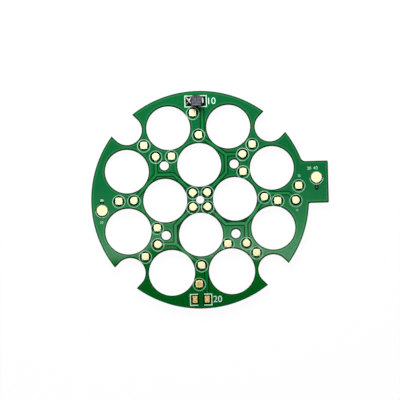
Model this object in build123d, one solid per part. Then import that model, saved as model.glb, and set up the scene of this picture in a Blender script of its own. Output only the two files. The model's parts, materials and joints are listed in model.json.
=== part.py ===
from build123d import *
import os
from math import acos, atan2, ceil, cos, degrees, hypot, pi, radians, sin, sqrt

# Ultrasound circuit board: a round board that carries twelve ultrasonic discs, in millimetres.
#
# The origin is the middle of the centre hole on the board's underside. +Z points out of the side with
# the pads, and +X points along the connecting tab. Everything is set out by quadrants: what is drawn for
# the first quadrant is given a quarter turn for each of the others. The green solder mask is a coating
# a few hundredths thick, so it is a colour of the laminate and the copper and no piece of its own.

# ------------------------------------------------------------------ board outline
LAMINATE_THICKNESS = 1.6
RIM_WIDTH = 2.03             # laminate left outside the outer disc holes
TAB_LENGTH = 4.72            # past the board's round edge
TAB_WIDTH = 9.98
TAB_OFFSET = 3.56            # tab's middle line above the board's centre line
TAB_CORNER_RADIUS = 0.35
TAB_UPPER_ROOT_RADIUS = 1.1
TAB_LOWER_ROOT_RADIUS = 0.4

# ------------------------------------------------------------------ holes and notches
DISC_HOLE_RADIUS = 5.24      # clears a disc of 10 mm
WIDE_DISC_HOLE_RADIUS = 5.5  # three holes near the lower edge are wider
WIDE_DISC_HOLES = (4, 5, 6)  # their numbers on the outer ring, counted from 0
OUTER_HOLES = 8              # the first at half a step from +X
INNER_HOLES = 4              # one on each half axis
DIAGONAL = 45                # degrees from +X to the first screw hole and notch
HUB_RADIUS = 3.09            # laminate left inside the inner disc holes
NECK_WIDTH = 1.005           # laminate left between an inner disc hole and the outer ones beside it
SCREW_HOLE_RADIUS = 1.1      # clears an M2 screw
CENTRE_HOLE_RADIUS = 0.97
NOTCH_RADIUS = 3.6
NOTCH_DEPTH = 5.45

# ------------------------------------------------------------------ copper and finish
COPPER_THICKNESS = 0.035
FINISH_THICKNESS = 0.015     # gold on the bare copper of the pads
EDGE_PULLBACK = 0.3          # copper stays this far from every cut edge
TRACK_WIDTH = 0.6
TRACK_CLEARANCE = 0.25
SMALLEST_ISLAND = 0.6        # mm2: smaller scraps of pour are etched away
PLOT_ERROR = 0.05            # arcs of the artwork are plotted in straight runs as true as this
PLOT_SIDES_COUNT = 8         # sides come in eights, so a disc has corners on axes and diagonals

# ------------------------------------------------------------------ pads
PAD_RADIUS = 0.87
PAD_CLEARANCE_RADIUS = 1.28  # edge of the pour round a pad
SPOKE_WIDTH = 0.45
LAND_RADIUS = 1.28
LAND_FINISH_RADIUS = 1.5
LAND_CLEARANCE_RADIUS = 1.62
LAND_SPOKE_WIDTH = 0.5

# Pad places in the first quadrant's frame, as offsets from the feature that each pad serves.
# One row for each quadrant: first (upper right), second, third and fourth.
HUB_PAD_OFFSET = 1.75        # hub pads: both ways from the centre hole
AXIS_SIGNAL_OFFSETS = ((0.0, 1.93), (0.15, 2.25), (0.05, 2.13), (-0.25, 1.78))
AXIS_GROUND_OFFSETS = ((-1.25, 3.5), (0.12, 2.1), (0.73, 2.85), (0.72, 1.22))
SIDE_GROUND_OFFSETS = ((2.1, -1.88), (2.22, -1.75), (2.07, -1.83), (2.37, -1.97))

# The two corner pads lie between the screw hole and the notch, at these shares of the way across
# and of the way up.
CORNER_SIGNAL_SHARES = ((0.335, 0.374), (0.358, 0.327), (0.332, 0.342), (0.382, 0.4))
CORNER_GROUND_SHARES = ((0.716, 0.745), (0.801, 0.771), (0.826, 0.801), (0.753, 0.777))
ARM_OFFSETS = (-1.92, -2.15, -2.25, -2.35)  # each arm's straight run, beside the screw hole

# ------------------------------------------------------------------ tab, lands and vias
INPUT_SIGNAL_FROM_RIM = 3.14
INPUT_SIGNAL_Y = -0.72
INPUT_GROUND_FROM_RIM = 2.38
INPUT_GROUND_Y = 2.8
INPUT_RUN_Y = 1.0            # the input track's straight run
TAB_LAND_FROM_END = 2.82
TAB_LAND_Y = 4.6
LEFT_LAND_FROM_RIM = 2.55
LEFT_LAND_Y = -2.05
TAB_VIA_OFFSET = (0.0, -2.55)    # from the tab land
LEFT_VIA_OFFSET = (0.0, 2.4)     # from the left land
VIA_RADIUS = 0.3             # each via is filled, and capped with a bead of mask
VIA_CAP_RADIUS = 0.47
VIA_CAP_THICKNESS = 0.03
VIA_DIMPLE_RADIUS = 0.25
VIA_DIMPLE_DEPTH = 0.1

# ------------------------------------------------------------------ chip places
CHIP_PAD_WIDTH = 1.3         # along the chip
CHIP_PAD_HEIGHT = 1.8
CHIP_PAD_SPACING = 2.89
CHIP_FINISH_MARGIN = 0.15    # the finish runs out along the spokes as far as this
CHIP_CLEARANCE_MARGIN = 0.25
CHIP_SPOKE_WIDTH = 0.4
INDUCTOR_PLACE_X = -0.46
INDUCTOR_PLACE_FROM_RIM = 2.43
RESISTOR_PLACE_X = -0.39
RESISTOR_PLACE_FROM_RIM = 2.15

# ------------------------------------------------------------------ chip inductor
INDUCTOR_LENGTH = 2.76       # across the bulged sides of its flanges
INDUCTOR_DEPTH = 2.4
INDUCTOR_FLAT = 2.0          # length of the flat sides
INDUCTOR_HEIGHT = 2.0
FLANGE_THICKNESS = 0.5
FLANGE_EDGE = 0.08
DRUM_RADIUS = 0.6
WINDING_RADIUS = 1.12
WIRE_TURNS = 4
WIRE_SWELL = 0.05            # how far each turn swells past the groove between turns
TERMINAL_THICKNESS = 0.08
TERMINAL_LENGTH = 0.75
SOLDER_THICKNESS = 0.06
SOLDER_RISE = 0.45
SOLDER_WIDTH = 1.3
SOLDER_HOLLOW = 0.33         # how far the fillet's middle lies from the flange and the pad
INDUCTOR_SHIFT = 0.15        # the inductor sits a little to the right on its pads

INNER_RING_RADIUS = HUB_RADIUS + DISC_HOLE_RADIUS
HALF_STEP = 180 / OUTER_HOLES
RING_GAP = 2 * DISC_HOLE_RADIUS + NECK_WIDTH    # inner hole to outer hole, middle to middle
OUTER_RING_RADIUS = INNER_RING_RADIUS * cos(radians(HALF_STEP)) + sqrt(
    RING_GAP**2 - (INNER_RING_RADIUS * sin(radians(HALF_STEP)))**2
)
BOARD_RADIUS = OUTER_RING_RADIUS + DISC_HOLE_RADIUS + RIM_WIDTH
NOTCH_CENTRE_RADIUS = BOARD_RADIUS - NOTCH_DEPTH + NOTCH_RADIUS
TOP = LAMINATE_THICKNESS
COPPER_TOP = TOP + COPPER_THICKNESS
PAD_TOP = COPPER_TOP + FINISH_THICKNESS
TAB_END = BOARD_RADIUS + TAB_LENGTH


# ------------------------------------------------------------------ places
def polar(radius, angle):
    """Point at a radius and an angle in degrees."""
    return (radius * cos(radians(angle)), radius * sin(radians(angle)))


def moved(point, offset):
    return (point[0] + offset[0], point[1] + offset[1])


def turned(point, quadrant):
    """A first-quadrant point carried into another quadrant, counted from 0."""
    x, y = point
    for _ in range(quadrant):
        x, y = -y, x
    return (x, y)


def outer_disc_places():
    for number in range(OUTER_HOLES):
        radius = WIDE_DISC_HOLE_RADIUS if number in WIDE_DISC_HOLES else DISC_HOLE_RADIUS
        yield polar(OUTER_RING_RADIUS, (2 * number + 1) * HALF_STEP), radius


def inner_disc_places():
    for number in range(INNER_HOLES):
        yield polar(INNER_RING_RADIUS, number * 360 / INNER_HOLES), DISC_HOLE_RADIUS


def screw_places():
    """Corners of the square through the middles of the inner disc holes."""
    corner = (INNER_RING_RADIUS, INNER_RING_RADIUS)
    return [turned(corner, quadrant) for quadrant in range(4)]


def axis_signal_place(quadrant):
    dx, dy = AXIS_SIGNAL_OFFSETS[quadrant]
    return turned((dx, INNER_RING_RADIUS + DISC_HOLE_RADIUS + dy), quadrant)


def axis_ground_place(quadrant):
    dx, dy = AXIS_GROUND_OFFSETS[quadrant]
    ring_y = OUTER_RING_RADIUS * cos(radians(HALF_STEP))
    return turned((dx, ring_y + dy), quadrant)


def side_ground_place(quadrant):
    dx, dy = SIDE_GROUND_OFFSETS[quadrant]
    return turned((INNER_RING_RADIUS + dx, INNER_RING_RADIUS + dy), quadrant)


def corner_place(shares):
    """Between the screw hole and the notch of the first quadrant."""
    across, up = shares
    notch_x, notch_y = polar(NOTCH_CENTRE_RADIUS - NOTCH_RADIUS, DIAGONAL)
    x = INNER_RING_RADIUS + across * (notch_x - INNER_RING_RADIUS)
    y = INNER_RING_RADIUS + up * (notch_y - INNER_RING_RADIUS)
    return (x, y)


def hub_place(quadrant):
    return turned((HUB_PAD_OFFSET, HUB_PAD_OFFSET), quadrant)


def neck_place(quadrant):
    """Middle of the neck between an inner disc hole and the outer one beside it."""
    inner_x, inner_y = polar(INNER_RING_RADIUS, 90)
    outer_x, outer_y = polar(OUTER_RING_RADIUS, 90 - HALF_STEP)
    return turned(((inner_x + outer_x) / 2, (inner_y + outer_y) / 2), quadrant)


def input_signal_place():
    return (BOARD_RADIUS - INPUT_SIGNAL_FROM_RIM, INPUT_SIGNAL_Y)


def input_ground_place():
    return (BOARD_RADIUS - INPUT_GROUND_FROM_RIM, INPUT_GROUND_Y)


def signal_places():
    """Signal pads in the order of the discs: the outer eight, then the inner four."""
    places = []
    for quadrant in range(4):
        places.append(turned(corner_place(CORNER_SIGNAL_SHARES[quadrant]), quadrant))
        places.append(axis_signal_place(quadrant))
    return places + [hub_place(quadrant) for quadrant in range(4)]


def ground_places():
    """Ground pads, in the same order as the signal pads."""
    places = []
    for quadrant in range(4):
        places.append(turned(corner_place(CORNER_GROUND_SHARES[quadrant]), quadrant))
        places.append(axis_ground_place(quadrant))
    return places + [side_ground_place(quadrant) for quadrant in range(4)]


def land_places():
    """Each large land with the via beside it."""
    tab_land = (TAB_END - TAB_LAND_FROM_END, TAB_LAND_Y)
    left_land = (LEFT_LAND_FROM_RIM - BOARD_RADIUS, LEFT_LAND_Y)
    return {
        "tab": (tab_land, moved(tab_land, TAB_VIA_OFFSET)),
        "left": (left_land, moved(left_land, LEFT_VIA_OFFSET)),
    }


def chip_pad_places(place_x, place_y):
    """Ground pad, then signal pad, of a chip place."""
    half = CHIP_PAD_SPACING / 2
    return [(place_x - half, place_y), (place_x + half, place_y)]


def inductor_place():
    return (INDUCTOR_PLACE_X, BOARD_RADIUS - INDUCTOR_PLACE_FROM_RIM)


def resistor_place():
    return (RESISTOR_PLACE_X, RESISTOR_PLACE_FROM_RIM - BOARD_RADIUS)


# ------------------------------------------------------------------ track routes
def arm_route(quadrant):
    """Hub pad, out between two inner discs, past the screw hole and on to the corner signal pad."""
    pad_x, pad_y = corner_place(CORNER_SIGNAL_SHARES[quadrant])
    run = INNER_RING_RADIUS + ARM_OFFSETS[quadrant]
    points = [(HUB_PAD_OFFSET, HUB_PAD_OFFSET), (run, run), (run, pad_y), (pad_x, pad_y)]
    return [turned(point, quadrant) for point in points]


def neck_route(quadrant):
    """From the arm's corner through the neck to the signal pad on the axis."""
    return [arm_route(quadrant)[2], neck_place(quadrant), axis_signal_place(quadrant)]


def hub_route():
    """Square loop that joins the four hub pads round the centre hole."""
    return [hub_place(quadrant) for quadrant in (0, 1, 2, 3, 0)]


def chip_route(quadrant, chip_place):
    """Straight track from a chip's signal pad to the signal pad nearest to it."""
    chip_x, chip_y = chip_pad_places(*chip_place)[1]
    pad_x, pad_y = axis_signal_place(quadrant)
    turn_y = pad_y + (chip_x - pad_x) * (1 if chip_y > 0 else -1)
    return [(chip_x, chip_y), (chip_x, turn_y), (pad_x, pad_y)]


def input_route():
    """From the signal pad on the +X axis to the input pad at the tab's root."""
    start_x, start_y = axis_signal_place(3)
    end_x, end_y = input_signal_place()
    first_turn = (start_x + abs(INPUT_RUN_Y - start_y), INPUT_RUN_Y)
    last_turn = (end_x - abs(INPUT_RUN_Y - end_y), INPUT_RUN_Y)
    return [(start_x, start_y), first_turn, last_turn, (end_x, end_y)]


def track_routes():
    routes = [hub_route(), input_route()]
    for quadrant in range(4):
        routes.append(arm_route(quadrant))
        routes.append(neck_route(quadrant))
    routes.append(chip_route(0, inductor_place()))
    routes.append(chip_route(2, resistor_place()))
    return routes


# ------------------------------------------------------------------ plans, drawn on the XY plane
def plotted(radius):
    """Disc as the artwork draws it: a polygon that strays from the circle by the plot error at most."""
    least_sides = pi / acos(1 - PLOT_ERROR / radius)
    return RegularPolygon(radius, PLOT_SIDES_COUNT * ceil(least_sides / PLOT_SIDES_COUNT))


def discs(places, radius, disc=Circle):
    """Discs of one radius."""
    return [Pos(*place) * disc(radius) for place in places]


def stroke(points, width):
    """Even line through points, with round ends and corners."""
    shapes = discs(points, width / 2, plotted)
    for (x0, y0), (x1, y1) in zip(points, points[1:]):
        length = hypot(x1 - x0, y1 - y0)
        angle = degrees(atan2(y1 - y0, x1 - x0))
        shapes.append(Pos((x0 + x1) / 2, (y0 + y1) / 2) * Rectangle(length, width, rotation=angle))
    return shapes


def spokes(place, angles, length, width):
    """Bars from a pad's middle out to the pour."""
    bar = Pos(length / 2, 0) * Rectangle(length, width)
    return [Pos(*place) * Rot(0, 0, angle) * bar for angle in angles]


def near(vertex, x, y):
    return hypot(vertex.X - x, vertex.Y - y) < BOARD_RADIUS / 100


def blank_plan(inset):
    """Disc and tab without holes, shrunk by an inset, with its corners rounded."""
    radius = BOARD_RADIUS - inset
    end = TAB_END - inset
    low = TAB_OFFSET - TAB_WIDTH / 2 + inset
    high = TAB_OFFSET + TAB_WIDTH / 2 - inset
    plan = Circle(radius) + Pos(end / 2, (low + high) / 2) * Rectangle(end, high - low)
    roundings = (
        ((end, high), TAB_CORNER_RADIUS - inset),
        ((end, low), TAB_CORNER_RADIUS - inset),
        ((sqrt(radius**2 - high**2), high), TAB_UPPER_ROOT_RADIUS + inset),
        ((sqrt(radius**2 - low**2), low), TAB_LOWER_ROOT_RADIUS + inset),
    )
    for (x, y), rounding in roundings:
        if rounding > 0:
            corner = [vertex for vertex in plan.vertices() if near(vertex, x, y)]
            plan = fillet(corner, rounding)
    return plan


def notch_plan(quadrant, grow, disc):
    """U-shaped bite in the rim, on the diagonal of a quadrant."""
    reach = BOARD_RADIUS - NOTCH_CENTRE_RADIUS + NOTCH_RADIUS
    mouth = Pos(NOTCH_CENTRE_RADIUS + reach / 2, 0) * Rectangle(reach, 2 * (NOTCH_RADIUS + grow))
    bite = Pos(NOTCH_CENTRE_RADIUS, 0) * disc(NOTCH_RADIUS + grow) + mouth
    return Rot(0, 0, DIAGONAL + 90 * quadrant) * bite


def board_plan(inset=0.0, disc=Circle):
    """The board's outline and holes, with every cut edge drawn back by an inset."""
    cuts = [notch_plan(quadrant, inset, disc) for quadrant in range(4)]
    cuts += discs([(0, 0)], CENTRE_HOLE_RADIUS + inset, disc)
    cuts += discs(screw_places(), SCREW_HOLE_RADIUS + inset, disc)
    for place, radius in [*outer_disc_places(), *inner_disc_places()]:
        cuts += discs([place], radius + inset, disc)
    return blank_plan(inset) - cuts


def chip_pad_plan(place, margin=0.0):
    return Pos(*place) * Rectangle(CHIP_PAD_WIDTH + 2 * margin, CHIP_PAD_HEIGHT + 2 * margin)


def signal_plan(grow=0.0):
    """All the signal copper: tracks and pads, widened by a margin on every side."""
    shapes = []
    for route in track_routes():
        shapes += stroke(route, TRACK_WIDTH + 2 * grow)
    shapes += discs(signal_places() + [input_signal_place()], PAD_RADIUS + grow, plotted)
    for chip_place in (inductor_place(), resistor_place()):
        shapes.append(chip_pad_plan(chip_pad_places(*chip_place)[1], grow))
    return Sketch() + shapes


def clearance_plan():
    """Everything that the pour keeps away from."""
    pads = signal_places() + ground_places() + [input_signal_place(), input_ground_place()]
    shapes = discs(pads, PAD_CLEARANCE_RADIUS, plotted)
    shapes += discs([land for land, via in land_places().values()], LAND_CLEARANCE_RADIUS, plotted)
    for chip_place in (inductor_place(), resistor_place()):
        for place in chip_pad_places(*chip_place):
            shapes.append(chip_pad_plan(place, CHIP_CLEARANCE_MARGIN))
    return signal_plan(TRACK_CLEARANCE) + shapes


def ground_pad_plan():
    """Ground pads and lands, with the spokes that join them to the pour."""
    diagonals = [DIAGONAL + 90 * quadrant for quadrant in range(4)]
    shapes = []
    for place in ground_places() + [input_ground_place()]:
        shapes.append(Pos(*place) * plotted(PAD_RADIUS))
        shapes += spokes(place, diagonals, PAD_CLEARANCE_RADIUS + EDGE_PULLBACK, SPOKE_WIDTH)
    for land, via in land_places().values():
        shapes.append(Pos(*land) * plotted(LAND_RADIUS))
        shapes += stroke([land, via], LAND_SPOKE_WIDTH)
    for chip_place in (inductor_place(), resistor_place()):
        place = chip_pad_places(*chip_place)[0]
        corner = hypot(CHIP_PAD_WIDTH, CHIP_PAD_HEIGHT) / 2 + CHIP_CLEARANCE_MARGIN
        lean = degrees(atan2(CHIP_PAD_HEIGHT, CHIP_PAD_WIDTH))
        angles = (lean, 180 - lean, 180 + lean, -lean)
        shapes.append(chip_pad_plan(place))
        shapes += spokes(place, angles, corner + EDGE_PULLBACK, CHIP_SPOKE_WIDTH)
    return Sketch() + shapes


def ground_plan():
    """The pour with its pads, without the scraps that are too small to stay."""
    copper_area = board_plan(EDGE_PULLBACK, plotted)
    plan = copper_area - clearance_plan() + (ground_pad_plan() & copper_area)
    plan = plan - signal_plan(TRACK_CLEARANCE)
    return Sketch() + [face for face in plan.faces() if face.area > SMALLEST_ISLAND]


# ------------------------------------------------------------------ board pieces
def raised(plan, bottom, thickness):
    """A plan made solid between two levels."""
    return Pos(0, 0, bottom) * extrude(plan, thickness)


def make_via(place):
    """Filled barrel through the laminate and the copper, under a dimpled cap."""
    cap_top = COPPER_TOP + VIA_CAP_THICKNESS
    via = raised(plotted(VIA_RADIUS), 0, COPPER_TOP)
    via += raised(plotted(VIA_CAP_RADIUS), COPPER_TOP, VIA_CAP_THICKNESS)
    via -= raised(plotted(VIA_DIMPLE_RADIUS), cap_top - VIA_DIMPLE_DEPTH, VIA_DIMPLE_DEPTH)
    return Pos(*place) * via


def make_finish(plan):
    """Gold finish on bare copper."""
    return raised(plan, COPPER_TOP, FINISH_THICKNESS)


def make_pad_finish(copper, place):
    """Gold finish on the round part of a pad."""
    return make_finish(copper & (Pos(*place) * plotted(PAD_RADIUS)))


# ------------------------------------------------------------------ chip inductor
def flange_plan():
    """Flange outline: two flat sides joined by two bulged ones."""
    half_flat = INDUCTOR_FLAT / 2
    half_depth = INDUCTOR_DEPTH / 2
    half_length = INDUCTOR_LENGTH / 2
    upper = Line((-half_flat, half_depth), (half_flat, half_depth))
    right = ThreePointArc((half_flat, half_depth), (half_length, 0), (half_flat, -half_depth))
    lower = Line((half_flat, -half_depth), (-half_flat, -half_depth))
    left = ThreePointArc((-half_flat, -half_depth), (-half_length, 0), (-half_flat, half_depth))
    return make_face([upper, right, lower, left])


def make_core():
    """Ferrite drum: two flanges on a round post, with the outer edges broken."""
    core = extrude(flange_plan(), FLANGE_THICKNESS)
    upper = Pos(0, 0, INDUCTOR_HEIGHT - FLANGE_THICKNESS) * extrude(flange_plan(), FLANGE_THICKNESS)
    rim = upper.faces().sort_by(Axis.Z)[-1].edges()
    upper = chamfer(rim, FLANGE_EDGE)
    post = Pos(0, 0, INDUCTOR_HEIGHT / 2) * Cylinder(DRUM_RADIUS, INDUCTOR_HEIGHT - 2 * FLANGE_THICKNESS)
    return core + post + upper


def make_winding():
    """Wire wound on the post in one layer, which swells at every turn."""
    low = FLANGE_THICKNESS
    high = INDUCTOR_HEIGHT - FLANGE_THICKNESS
    pitch = (high - low) / WIRE_TURNS
    groove = WINDING_RADIUS - WIRE_SWELL
    outline = [(DRUM_RADIUS, high), (DRUM_RADIUS, low), (groove, low)]
    for turn in range(WIRE_TURNS):
        z = low + turn * pitch
        outline.append((WINDING_RADIUS, z + pitch / 2))
        outline.append((groove, z + pitch))
    return revolve(Plane.XZ * make_face(Polyline(outline, close=True)), Axis.Z)


def make_terminal(side):
    """Plated foot under one end of the lower flange."""
    half = INDUCTOR_LENGTH / 2
    end = Pos(side * (half - TERMINAL_LENGTH / 2), 0) * Rectangle(TERMINAL_LENGTH, INDUCTOR_DEPTH)
    return raised(flange_plan() & end, -TERMINAL_THICKNESS, TERMINAL_THICKNESS)


def make_solder(side, pad_x):
    """Solder under one terminal, drawn up the flange in a hollow fillet. z = 0 is the pad's top."""
    foot_z = SOLDER_THICKNESS
    outer = pad_x + side * CHIP_PAD_WIDTH / 2
    wall = side * INDUCTOR_LENGTH / 2
    inner = side * (INDUCTOR_LENGTH / 2 - TERMINAL_LENGTH)
    middle = (wall + SOLDER_HOLLOW * (outer - wall), SOLDER_RISE * SOLDER_HOLLOW)
    profile = make_face([
        Line((inner, 0), (outer, 0)),
        Line((outer, 0), (outer, foot_z / 2)),
        ThreePointArc((outer, foot_z / 2), middle, (wall, SOLDER_RISE)),
        Line((wall, SOLDER_RISE), (inner, SOLDER_RISE)),
        Line((inner, SOLDER_RISE), (inner, 0)),
    ])
    return extrude(Plane.XZ * profile, SOLDER_WIDTH / 2, both=True)


def inductor_pieces():
    """The inductor on its place, with both joints."""
    place_x, place_y = inductor_place()
    pads = [x - place_x for x, y in chip_pad_places(*inductor_place())]
    foot_z = SOLDER_THICKNESS + TERMINAL_THICKNESS
    body = Pos(INDUCTOR_SHIFT, 0, foot_z)
    pieces = {
        "inductor_core": body * make_core(),
        "inductor_winding": body * make_winding(),
        "inductor_left_terminal": body * make_terminal(-1),
        "inductor_right_terminal": body * make_terminal(1),
    }
    for name, side, pad_x in (("left", -1, pads[0]), ("right", 1, pads[1])):
        solder = Pos(INDUCTOR_SHIFT, 0, 0) * make_solder(side, pad_x - INDUCTOR_SHIFT)
        solder -= pieces["inductor_core"]
        solder -= pieces[f"inductor_{name}_terminal"]
        pieces[f"{name}_solder_joint"] = solder
    seat = Pos(place_x, place_y, PAD_TOP)
    return {name: seat * piece for name, piece in pieces.items()}


# ------------------------------------------------------------------ nodes
def board_pieces():
    ground = ground_plan()
    signal = signal_plan()
    vias = discs([via for land, via in land_places().values()], VIA_RADIUS, plotted)
    pieces = {
        "laminate": raised(board_plan() - vias, 0, LAMINATE_THICKNESS),
        "ground_copper": raised(ground - vias, TOP, COPPER_THICKNESS),
        "signal_copper": raised(signal, TOP, COPPER_THICKNESS),
    }
    for number, place in enumerate(signal_places(), 1):
        pieces[f"signal_pad_{number:02d}"] = make_pad_finish(signal, place)
    for number, place in enumerate(ground_places(), 1):
        pieces[f"ground_pad_{number:02d}"] = make_pad_finish(ground, place)
    pieces["input_signal_pad"] = make_pad_finish(signal, input_signal_place())
    pieces["input_ground_pad"] = make_pad_finish(ground, input_ground_place())
    for name, (land, via) in land_places().items():
        area = Pos(*land) * plotted(LAND_FINISH_RADIUS)
        pieces[f"{name}_land"] = make_finish(ground & area)
        pieces[f"{name}_via"] = make_via(via)
    for name, chip_place in (("inductor", inductor_place()), ("resistor", resistor_place())):
        ground_pad, signal_pad = chip_pad_places(*chip_place)
        finished = ground & chip_pad_plan(ground_pad, CHIP_FINISH_MARGIN)
        pieces[f"{name}_ground_pad"] = make_finish(finished)
        pieces[f"{name}_signal_pad"] = make_finish(chip_pad_plan(signal_pad))
    return pieces


def main():
    os.makedirs("parts", exist_ok=True)
    for name, piece in {**board_pieces(), **inductor_pieces()}.items():
        export_step(piece, f"parts/{name}.step")


main()
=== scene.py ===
# %% [markdown]
# # Ultrasound circuit board
# A round green circuit board that carries twelve ultrasonic discs in its holes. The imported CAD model
# gives every piece its place, so this lesson only dresses it: the finishes of the mask, copper and
# gold, the crowns of the pads, the print on the mask, the light and the camera.

# %% Load the frame
import json
import math

import bpy
from mathutils import Matrix, Vector


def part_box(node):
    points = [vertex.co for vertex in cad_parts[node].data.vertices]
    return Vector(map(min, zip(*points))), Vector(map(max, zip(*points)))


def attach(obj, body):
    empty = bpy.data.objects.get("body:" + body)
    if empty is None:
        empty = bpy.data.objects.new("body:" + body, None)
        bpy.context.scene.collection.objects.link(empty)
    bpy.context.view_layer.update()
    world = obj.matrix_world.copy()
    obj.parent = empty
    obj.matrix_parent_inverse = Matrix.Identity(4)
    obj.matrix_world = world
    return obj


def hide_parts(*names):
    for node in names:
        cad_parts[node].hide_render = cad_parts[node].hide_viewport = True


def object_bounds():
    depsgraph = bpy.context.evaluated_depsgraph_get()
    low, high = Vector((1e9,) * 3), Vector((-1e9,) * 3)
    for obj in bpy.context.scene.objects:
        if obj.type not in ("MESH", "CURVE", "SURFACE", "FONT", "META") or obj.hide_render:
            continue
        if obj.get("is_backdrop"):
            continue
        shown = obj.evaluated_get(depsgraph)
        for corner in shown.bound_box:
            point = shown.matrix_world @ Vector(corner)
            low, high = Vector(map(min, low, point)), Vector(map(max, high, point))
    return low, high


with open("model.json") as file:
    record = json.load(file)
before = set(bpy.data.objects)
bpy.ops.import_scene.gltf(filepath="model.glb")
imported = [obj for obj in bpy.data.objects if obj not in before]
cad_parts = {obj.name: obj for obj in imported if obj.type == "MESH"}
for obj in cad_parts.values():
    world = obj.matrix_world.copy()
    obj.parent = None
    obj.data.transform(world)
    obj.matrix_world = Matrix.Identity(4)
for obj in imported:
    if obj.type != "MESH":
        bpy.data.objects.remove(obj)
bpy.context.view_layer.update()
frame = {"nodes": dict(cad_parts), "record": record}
record = frame["record"]
nodes = frame["nodes"]
MM = 0.001

# %% [markdown]
# ## Measures
# The record holds each hole's place and radius, and a node's box gives its levels. Typed in again,
# they would stay behind when a size changes. Lengths in shader sums are in millimetres, because the
# board's features are a few tenths of a millimetre wide.

# %% Measures from the frame
mounts = {mount["name"]: mount for mount in record["mounts"]}
holes = []
for mount in mounts.values():
    if mount["kind"] == "bore":
        x, y, z = mount["pos_m"]
        holes.append((x / MM, y / MM, mount["dims"]["r_mm"]))
screws = mounts["screw_holes"]["dims"]
for side_x in (-1, 1):
    for side_y in (-1, 1):
        x = side_x * screws["spacing_x_mm"] / 2
        y = side_y * screws["spacing_y_mm"] / 2
        holes.append((x, y, screws["hole_r_mm"]))
laminate_low, laminate_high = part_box("laminate")
copper_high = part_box("ground_copper")[1]
board_radius = -laminate_low.x / MM
print("holes", len(holes), "board radius", round(board_radius, 3))

# %% [markdown]
# ## Shader sums
# Shader maths could be clicked together node by node, but it reads best as plain sums. `Value` wraps
# one socket, and each operator adds a Math node. The reflected forms let a plain number come first.

# %% Value
class Value:
    """A number, colour or vector that varies over a surface."""

    def __init__(self, nodes, socket):
        self.nodes = nodes
        self.socket = socket

    def math(self, operation, *others):
        values = dict(enumerate((self, *others)))
        return self.nodes.node("ShaderNodeMath", {"operation": operation}, values)

    def vector(self, operation, *others, output=0):
        values = dict(enumerate((self, *others)))
        return self.nodes.node("ShaderNodeVectorMath", {"operation": operation}, values, output)

    def xyz(self):
        """The three parts of a vector."""
        return [self.nodes.node("ShaderNodeSeparateXYZ", {}, {0: self}, axis) for axis in "XYZ"]

    def __add__(self, other):
        return self.math("ADD", other)

    __radd__ = __add__

    def __mul__(self, other):
        return self.math("MULTIPLY", other)

    __rmul__ = __mul__

    def __sub__(self, other):
        return self.math("SUBTRACT", other)

    def __rsub__(self, other):
        return self * -1 + other

    def __truediv__(self, other):
        return self.math("DIVIDE", other)

    def __abs__(self):
        return self.math("ABSOLUTE")

    def clamp(self):
        return self.nodes.node("ShaderNodeClamp", {}, {"Value": self})

    def least(self, other):
        return self.math("MINIMUM", other)

    def most(self, other):
        return self.math("MAXIMUM", other)

    def above(self, level, blur):
        """0 below a level and 1 above it, over a short slope."""
        return ((self - level) / blur + 0.5).clamp()

    def below(self, level, blur):
        """1 below a level and 0 above it, over a short slope."""
        return 1 - self.above(level, blur)


print("sums ready")

# %% [markdown]
# ## Nodes and finishes
# Every node that isn't a sum comes from `node`, which sets the node's settings first and its sockets
# next. The world uses that too. A `Finish` is a material whose Principled shader is set by name.

# %% Nodes and Finish
class Nodes:
    """The nodes of a material or of the world."""

    def __init__(self, tree):
        self.tree = tree

    def put(self, node, socket, value):
        if isinstance(value, Value):
            self.tree.links.new(value.socket, node.inputs[socket])
        elif isinstance(value, tuple) and node.inputs[socket].type == "RGBA":
            node.inputs[socket].default_value = (*value, 1)
        else:
            node.inputs[socket].default_value = value

    def node(self, kind, settings, values, output=0):
        node = self.tree.nodes.new(kind)
        for name, value in settings.items():
            setattr(node, name, value)
        for socket, value in values.items():
            self.put(node, socket, value)
        return Value(self, node.outputs[output])

    def backdrop_rays(self):
        """1 where the backdrop is looked at, straight or in metal or glass, and 0 where it lights."""
        kinds = ("Camera", "Glossy", "Transmission")
        rays = [self.node("ShaderNodeLightPath", {}, {}, f"Is {kind} Ray") for kind in kinds]
        return rays[0].most(rays[1]).most(rays[2])


class Finish(Nodes):
    """A material whose Principled shader is set by name."""

    def __init__(self, name, **constants):
        self.material = bpy.data.materials.new(name)
        self.material.use_nodes = True
        super().__init__(self.material.node_tree)
        self.shader = self.tree.nodes["Principled BSDF"]
        self.output = self.tree.nodes["Material Output"]
        self.look(**constants)

    def look(self, **sockets):
        """Sets or links sockets of the shader, with _ for each space in a socket's name."""
        for socket, value in sockets.items():
            self.put(self.shader, socket.replace("_", " "), value)

    def place(self):
        """Place on the object in millimetres, as a vector."""
        metres = self.node("ShaderNodeTexCoord", {}, {}, "Object")
        return metres.vector("MULTIPLY", (1 / MM, 1 / MM, 1 / MM))

    def where(self):
        """Place on the object, then its x, y and z."""
        place = self.place()
        return place, *place.xyz()

    def noise(self, vector, scale, detail=2.0):
        values = {"Vector": vector, "Scale": scale, "Detail": detail}
        return self.node("ShaderNodeTexNoise", {"noise_dimensions": "3D"}, values)

    def mix(self, factor, first, second):
        """First colour at factor 0, second at 1."""
        values = {"Factor": factor, 6: first, 7: second}
        return self.node("ShaderNodeMix", {"data_type": "RGBA"}, values, 2)

    def bump(self, height, strength, distance):
        values = {"Height": height, "Strength": strength, "Distance": distance}
        self.look(Normal=self.node("ShaderNodeBump", {}, values))


print("finishes ready")

# %% [markdown]
# ## How far is the nearest cut edge?
# The mask thins out over the copper's shoulder, which follows every hole and the rim. A painted
# texture would blur there, but a colour can follow it if the shader knows the distance to the nearest
# cut edge: for a hole, the distance to its middle less its radius, and then the least of them all.

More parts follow.
